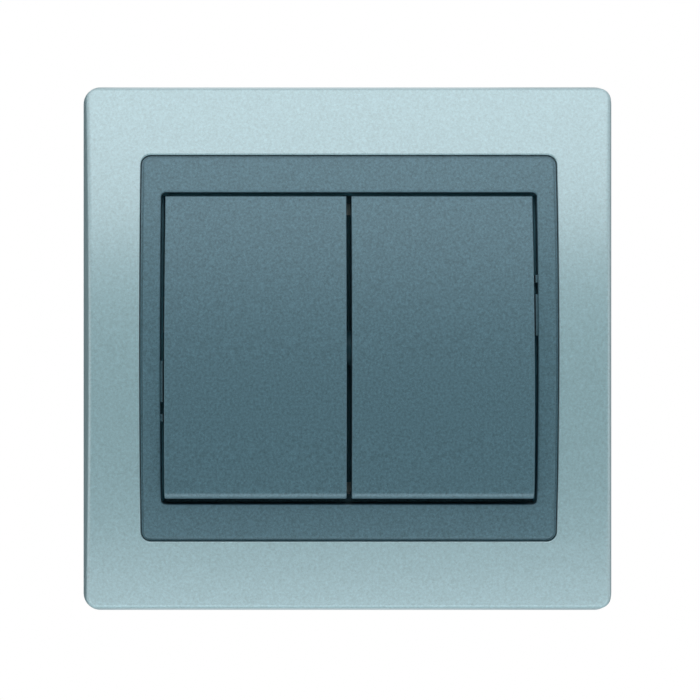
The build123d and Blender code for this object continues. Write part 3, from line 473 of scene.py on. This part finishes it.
def flake_paint(name, colour, flakes, roughness, spread, sheen, bare):
    """Sprayed paint with metal flakes, each a little lighter or darker, on what faces the front and the sides.
    The rest is bare. The sheen is the share of pale flakes that lie flat at the paint's skin, few of them
    where it faces down."""
    finish, shader, place = new_finish(name, Coat_IOR=2.77, Coat_Roughness=0.28)
    facing = Shade(place.tree, place.socket.node.outputs["Normal"])
    rearward = facing.node("ShaderNodeSeparateXYZ", output=1, Vector=facing)
    spray = rearward.node("ShaderNodeMapRange", Value=rearward,
                          From_Min=0.05, From_Max=0.12, To_Min=1.0, To_Max=0.0)
    upward = facing.node("ShaderNodeSeparateXYZ", output=2, Vector=facing)
    lying = upward.node("ShaderNodeMapRange", Value=upward,
                        From_Min=-0.45, From_Max=-0.2, To_Min=0.15, To_Max=1.0)
    sparkle = 0.4 * place.noise(7000.0, 1.0) + 0.6 * place.noise(2600.0, 2.0, 0.6)
    film = sparkle.ramp((0.3, shaded(colour, 1 - spread)), (0.7, shaded(colour, 1 + spread)))
    skin = spray.node("ShaderNodeMix", output=2, settings={"data_type": "RGBA"}, _0=spray, _6=bare, _7=film)
    feed(shader, Base_Color=skin, Metallic=flakes * spray, Coat_Weight=sheen * spray * lying)
    feed(shader, Roughness=BARE_ROUGHNESS + (roughness - BARE_ROUGHNESS) * spray)
    feed(shader, Normal=place.noise(3500.0, 2.0).bump(0.000005))
    return finish


silver_paint = flake_paint("silver_paint", FRAME_SILVER, flakes=0.3, roughness=0.45, spread=0.20, sheen=0.45,
                           bare=FRAME_BARE)
dress("outer_frame", silver_paint)


# Bezel and keys.
# Mouldings in a dark graphite paint: the bezel clips through the frame into the strap, and the keys snap on
# their tumblers, each with a crisper edge at its top. Low rails of the tumblers' plastic, set in along the top
# and the sides of the bezel's window, close most of the gap round the keys.
GRAPHITE = (0.090, 0.176, 0.219, 1)
GRAPHITE_BARE = (0.045, 0.10, 0.125, 1)
KEY_CORNER = (-0.00806, 0.02282)
KEY_ROUND = 0.0010
KEY_CRISPNESS = 0.4
RAIL_MIDDLE = 0.02796
RAIL_WIDTH = 0.00046
RAIL_THICKNESS = 0.0005
RAIL_EDGE = 0.00006
RAIL_RADIUS = 0.14235
RAIL_TURN = math.radians(9.3)
RAIL_STEPS = 24
CROWN_CENTRE = (0, 0.1348, 0)
TOP_RAIL_PLACE = (0, -0.00595, 0.02321)
TOP_RAIL_LENGTH = 0.0562


def crisp_key(node, finish):
    """Stands for a key: the round along its top is drawn in to the corner where its front and its end meet."""
    key = welded_copy(node)
    corner = Vector((0, *KEY_CORNER))
    pick_edges(key, lambda end: (Vector((0, end.y, end.z)) - corner).length < KEY_ROUND)
    bpy.ops.transform.resize(value=(1, KEY_CRISPNESS, KEY_CRISPNESS), center_override=corner)
    bpy.ops.object.mode_set(mode="OBJECT")
    smooth(key)
    finish_piece(key, finish, node)


def side_rail(middle):
    """A rail on a side wall of the bezel's window, swept along the arc of the front a little way behind it."""
    bpy.ops.object.select_all(action="DESELECT")
    forward, down = RAIL_RADIUS * math.cos(RAIL_TURN), RAIL_RADIUS * math.sin(RAIL_TURN)
    low_end = (middle, CROWN_CENTRE[1] - forward, -down)
    bpy.ops.mesh.primitive_plane_add(size=1, location=low_end, rotation=(RAIL_TURN, 0, 0))
    bpy.context.object.scale = (RAIL_WIDTH, RAIL_THICKNESS, 1)
    bpy.ops.object.transform_apply(location=True, rotation=True, scale=True)
    bpy.ops.object.mode_set(mode="EDIT")
    bpy.ops.mesh.select_all(action="SELECT")
    bpy.ops.mesh.spin(steps=RAIL_STEPS, angle=2 * RAIL_TURN, center=CROWN_CENTRE, axis=(1, 0, 0))
    bpy.ops.mesh.select_all(action="SELECT")
    bpy.ops.mesh.remove_doubles(threshold=WELD_DISTANCE)
    bpy.ops.mesh.normals_make_consistent(inside=False)
    bpy.ops.object.mode_set(mode="OBJECT")
    return bpy.context.object


def top_rail():
    """A straight rail on the top wall of the bezel's window."""
    bpy.ops.object.select_all(action="DESELECT")
    bpy.ops.mesh.primitive_cube_add(size=1, location=TOP_RAIL_PLACE)
    bpy.context.object.scale = (TOP_RAIL_LENGTH, RAIL_THICKNESS, RAIL_WIDTH)
    bpy.ops.object.transform_apply(location=True, rotation=True, scale=True)
    return bpy.context.object


def finish_rail(rail, name, finish):
    """Rounds a rail's edges, gives it its finish and fixes it to the bezel."""
    rail.name = rail.data.name = name
    edge = rail.modifiers.new("edge", "BEVEL")
    edge.width = RAIL_EDGE
    edge.segments = EDGE_SEGMENTS
    bpy.ops.object.modifier_apply(modifier="edge")
    smooth(rail)
    rail.data.materials.append(finish)
    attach(rail, nodes["inner_bezel"]["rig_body"])


graphite_paint = flake_paint("graphite_paint", GRAPHITE, flakes=0.25, roughness=0.42, spread=0.34, sheen=0.03,
                             bare=GRAPHITE_BARE)
dress("inner_bezel", graphite_paint)
for side, middle in (("left", -RAIL_MIDDLE), ("right", RAIL_MIDDLE)):
    crisp_key(f"{side}_rocker", graphite_paint)
    finish_rail(side_rail(middle), f"{side}_window_rail", tumbler_plastic)
finish_rail(top_rail(), "top_window_rail", tumbler_plastic)


# Studio.
# A pale floor well below, as under a switch on a wall, and a white surround. Soft lights stand above and
# below, with a dark card between them behind the camera, which gives the crowned front its shade. Cards
# behind, dark at the left and grey at the right, give the sides and the metal at the rear theirs.
FLOOR_DROP = 0.9
FLOOR_SIZE = 5.0
FLOOR_WHITE = (0.85, 0.85, 0.85, 1)
FLOOR_GLOW = 0.85
SHEET_ROUGHNESS = 0.9
AMBIENT = 0.6
CARD_DISTANCE = 0.8
CARD_WIDTH = 2.4
CARD_RISE = (-32.0, 15.0)
CARD_GREY = (0.22, 0.38, 0.39, 1)
SIDE_CARD_PLACE = (0.46, 0.54, 0.0)
SIDE_CARD_SIZE = (0.9, 1.0)
SIDE_CARD_TURN = 40.0
SIDE_CARDS = {"left": (0.05, 0.07, 0.07, 1), "right": (0.4, 0.4, 0.4, 1)}
CAMERA_PLACE = (-0.008, -0.300, -0.002)
IMAGE_PIXELS = 700
PIXELS_PER_MM = 6.515
FRAME_MIDDLE = (347.45, 348.6)


def studio_sheet(name, size, place, turn, colour):
    """A plain sheet of the studio."""
    bpy.ops.object.select_all(action="DESELECT")
    bpy.ops.mesh.primitive_plane_add(size=1, location=place, rotation=turn)
    sheet = bpy.context.object
    sheet.name = name
    sheet.scale = (*size, 1)
    bpy.ops.object.transform_apply(location=True, rotation=True, scale=True)
    sheet.data.materials.append(new_finish(name, Base_Color=colour, Roughness=SHEET_ROUGHNESS)[0])
    return sheet


def background_rays(tree):
    """1 where the background is looked at, also in a reflection or through glass, and 0 where it only gives
    light."""
    path = tree.nodes.new("ShaderNodeLightPath")
    kinds = ("Camera", "Glossy", "Transmission")
    seen, mirrored, through = (Shade(tree, path.outputs[f"Is {kind} Ray"]) for kind in kinds)
    return seen.sum("MAXIMUM", seen, mirrored.sum("MAXIMUM", mirrored, through))


floor = studio_sheet("floor", (FLOOR_SIZE, FLOOR_SIZE), (0, 0, -FLOOR_DROP), (0, 0, 0), FLOOR_WHITE)
floor_tree = floor.data.materials[0].node_tree
paper = Shade(floor_tree, floor_tree.nodes["Principled BSDF"].outputs["BSDF"])
lit_paper = paper.node("ShaderNodeMixShader", _0=FLOOR_GLOW * background_rays(floor_tree), _1=paper,
                       _2=paper.node("ShaderNodeEmission", Color=(1, 1, 1, 1), Strength=1.0))
floor_tree.links.new(lit_paper.socket, floor_tree.nodes["Material Output"].inputs["Surface"])
card_foot, card_top = (CARD_DISTANCE * math.tan(math.radians(rise)) for rise in CARD_RISE)
card_middle = (0, -CARD_DISTANCE, (card_foot + card_top) / 2)
card = studio_sheet("card", (CARD_WIDTH, card_top - card_foot), card_middle, (-math.pi / 2, 0, 0), CARD_GREY)
card.visible_camera = False
for side, grey in SIDE_CARDS.items():
    sign = -1 if side == "left" else 1
    side_place = (sign * SIDE_CARD_PLACE[0], *SIDE_CARD_PLACE[1:])
    side_turn = (math.pi / 2, 0, -sign * math.radians(SIDE_CARD_TURN))
    side_card = studio_sheet(f"{side}_card", SIDE_CARD_SIZE, side_place, side_turn, grey)
    side_card.visible_camera = False


def soft_light(name, place, size, power):
    """A large lamp that faces the object."""
    bpy.ops.object.light_add(type="AREA", location=place)
    lamp = bpy.context.object
    lamp.name = name
    lamp.data.shape = "RECTANGLE"
    lamp.data.size, lamp.data.size_y = size
    lamp.data.energy = power
    lamp.rotation_euler = (-Vector(place)).to_track_quat("-Z", "Y").to_euler()


soft_light("light_above", place=(0.0, -0.60, 0.62), size=(1.4, 0.9), power=3.7)
soft_light("light_below", place=(0.0, -0.32, -0.58), size=(1.2, 0.4), power=2.3)

world = bpy.data.worlds.new("studio")
bpy.context.scene.world = world
world.use_nodes = True
sky = world.node_tree
surround = sky.nodes["Background"]
sky.links.new((AMBIENT + (1 - AMBIENT) * background_rays(sky)).socket, surround.inputs["Strength"])
surround.inputs["Color"].default_value = (1, 1, 1, 1)

camera_data = bpy.data.cameras.new("camera")
camera = bpy.data.objects.new("camera", camera_data)
bpy.context.scene.collection.objects.link(camera)
camera.location = CAMERA_PLACE
camera.rotation_euler = (math.pi / 2, 0, 0)
across, behind, up = (-1000 * PIXELS_PER_MM * step for step in CAMERA_PLACE)
camera_data.lens = camera_data.sensor_width * behind / IMAGE_PIXELS
camera_data.shift_x = (across + IMAGE_PIXELS / 2 - FRAME_MIDDLE[0]) / IMAGE_PIXELS
camera_data.shift_y = (up + FRAME_MIDDLE[1] - IMAGE_PIXELS / 2) / IMAGE_PIXELS
camera_data.clip_start = 0.01
bpy.context.scene.camera = camera
bpy.context.scene.view_settings.view_transform = "Standard"
